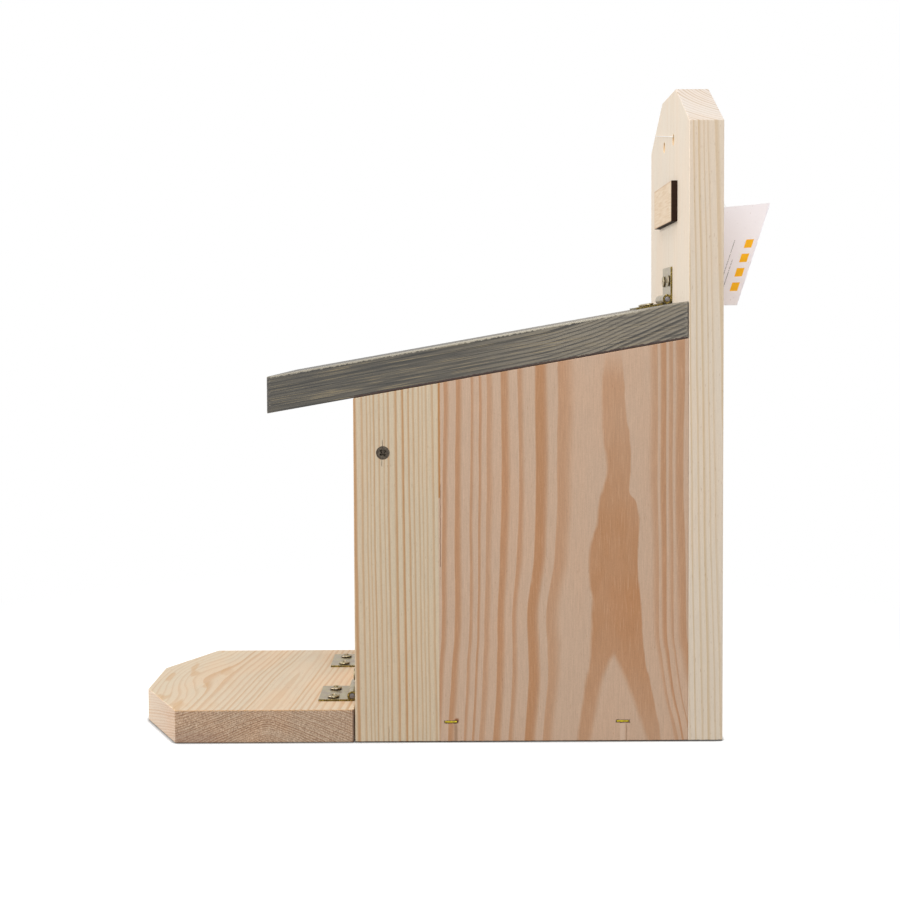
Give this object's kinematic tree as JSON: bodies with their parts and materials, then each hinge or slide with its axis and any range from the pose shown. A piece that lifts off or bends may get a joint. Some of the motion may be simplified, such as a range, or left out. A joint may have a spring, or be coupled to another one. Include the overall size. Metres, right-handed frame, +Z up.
{
  "type": "squirrel feeder",
  "caption": "Wooden squirrel feeder: a nut box with a clear front, a sloping hinged lid, a fold-up platform and a tall back board with hanging holes.",
  "frame": {"origin": "on the ground plane, under the middle of the feeder's bounding box", "axes": "+Z up; -Y is the front, where the platform is; +Y the back, where the back board is; +X is the side panel on the right as seen facing +Y"},
  "size_m": [0.125, 0.3575, 0.346],
  "materials": {
    "pine_board": "planed, untreated",
    "pine_pale": "planed, untreated",
    "pine_pink": "planed, untreated",
    "pine_stained": "grey-brown stain",
    "plaque_wood": "planed, burnt edges",
    "clear_pane": "clear",
    "yellow_zinc": "yellow zinc plate",
    "pin_steel": "plain",
    "bronzed_steel": "dark bronze",
    "coated_steel": "gold resin coat",
    "card": "printed card",
    "string": "twisted thread"
  },
  "bodies": {
    "box": {"backboard": "pine_board", "right_side_front_stave": "pine_pale", "right_side_rear_stave": "pine_pink", "left_side_front_stave": "pine_pale", "left_side_rear_stave": "pine_pink", "floor_board": "pine_board", "front_rail": "pine_board", "cross_batten": "pine_board", "window_pane": "clear_pane", "blank_plaque": "plaque_wood", "lid_hinge_back_leaf": "yellow_zinc", "lid_hinge_pin": "pin_steel", "right_hinge_rail_leaf": "yellow_zinc", "left_hinge_rail_leaf": "yellow_zinc", "lid_hinge_back_screws": "yellow_zinc", "right_hinge_rail_screws": "yellow_zinc", "left_hinge_rail_screws": "yellow_zinc", "batten_screws": "bronzed_steel", "rail_screws": "bronzed_steel", "back_screws": "bronzed_steel", "floor_staples": "coated_steel", "swing_tag": "card", "tag_string": "string"},
    "platform": {"platform_board": "pine_board", "right_hinge_platform_leaf": "yellow_zinc", "right_hinge_platform_screws": "yellow_zinc", "right_hinge_pin": "pin_steel", "left_hinge_platform_leaf": "yellow_zinc", "left_hinge_platform_screws": "yellow_zinc", "left_hinge_pin": "pin_steel"},
    "lid": {"lid_board": "pine_stained", "lid_hinge_lid_leaf": "yellow_zinc", "lid_hinge_lid_screws": "yellow_zinc"}
  },
  "joints": [
    {"name": "platform_fold", "type": "hinge", "parent": "box", "child": "platform", "pos_m": [0, -0.03988, 0.02003], "axis": [-1, 0, 0], "range_deg": [0, 88]},
    {"name": "lid_open", "type": "hinge", "parent": "box", "child": "lid", "pos_m": [0, 0.13412, 0.23185], "axis": [-1, 0, 0], "range_deg": [0, 98]}
  ]
}
